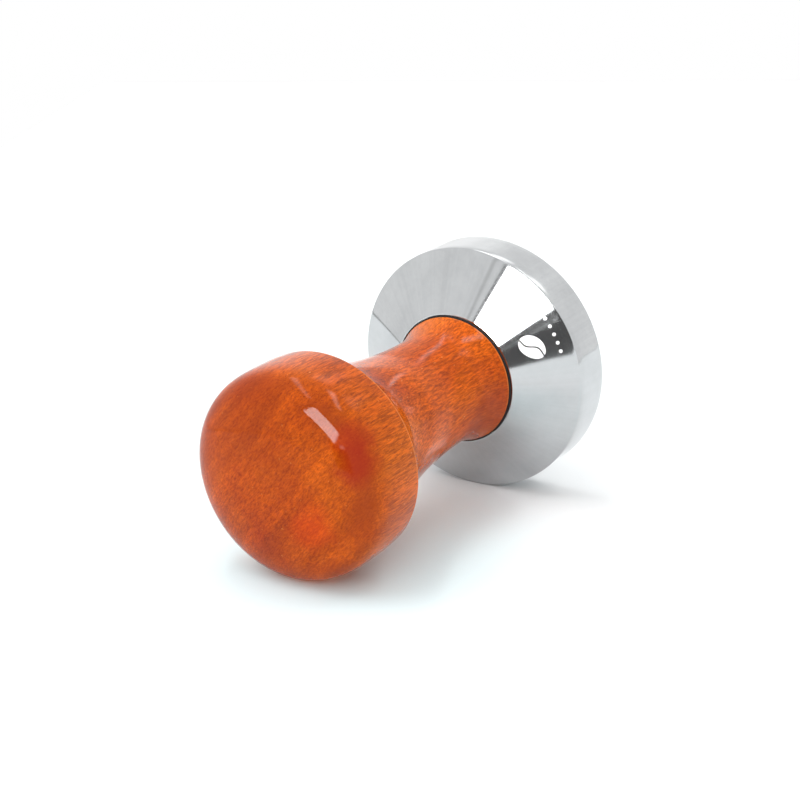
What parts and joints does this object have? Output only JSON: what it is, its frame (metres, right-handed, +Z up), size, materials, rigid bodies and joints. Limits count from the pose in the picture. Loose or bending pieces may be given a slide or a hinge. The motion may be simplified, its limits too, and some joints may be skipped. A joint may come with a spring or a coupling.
{
  "type": "espresso tamper",
  "caption": "Espresso tamper: a solid steel piston with a cone, and a turned wooden handle with a round knob that unscrews from it.",
  "frame": {"origin": "centre of the tamping face", "axes": "+Z up the axis, from the tamping face to the top of the knob; the object is round, so X and Y are free"},
  "size_m": [0.058, 0.058, 0.0885],
  "materials": {
    "stainless": "polished",
    "plated_steel": "satin",
    "rubber": "matte",
    "brass": "satin",
    "wood": "gloss"
  },
  "bodies": {
    "piston": {"piston": "stainless", "stud": "plated_steel"},
    "washer": {"washer": "rubber"},
    "handle": {"handle": "wood", "threaded_insert": "brass"}
  },
  "joints": [
    {"name": "handle_turn", "type": "hinge", "parent": "piston", "child": "washer", "pos_m": [0, 0, 0.0178], "axis": [0, 0, 1], "range_deg": [0, 3600]},
    {"name": "handle_lift", "type": "slide", "parent": "washer", "child": "handle", "axis": [0, 0, 1], "range_m": [0, 0.0125]}
  ],
  "couplings": [
    {"joint": "handle_turn", "follows": "handle_lift", "rad_per_m": 5026.5}
  ]
}
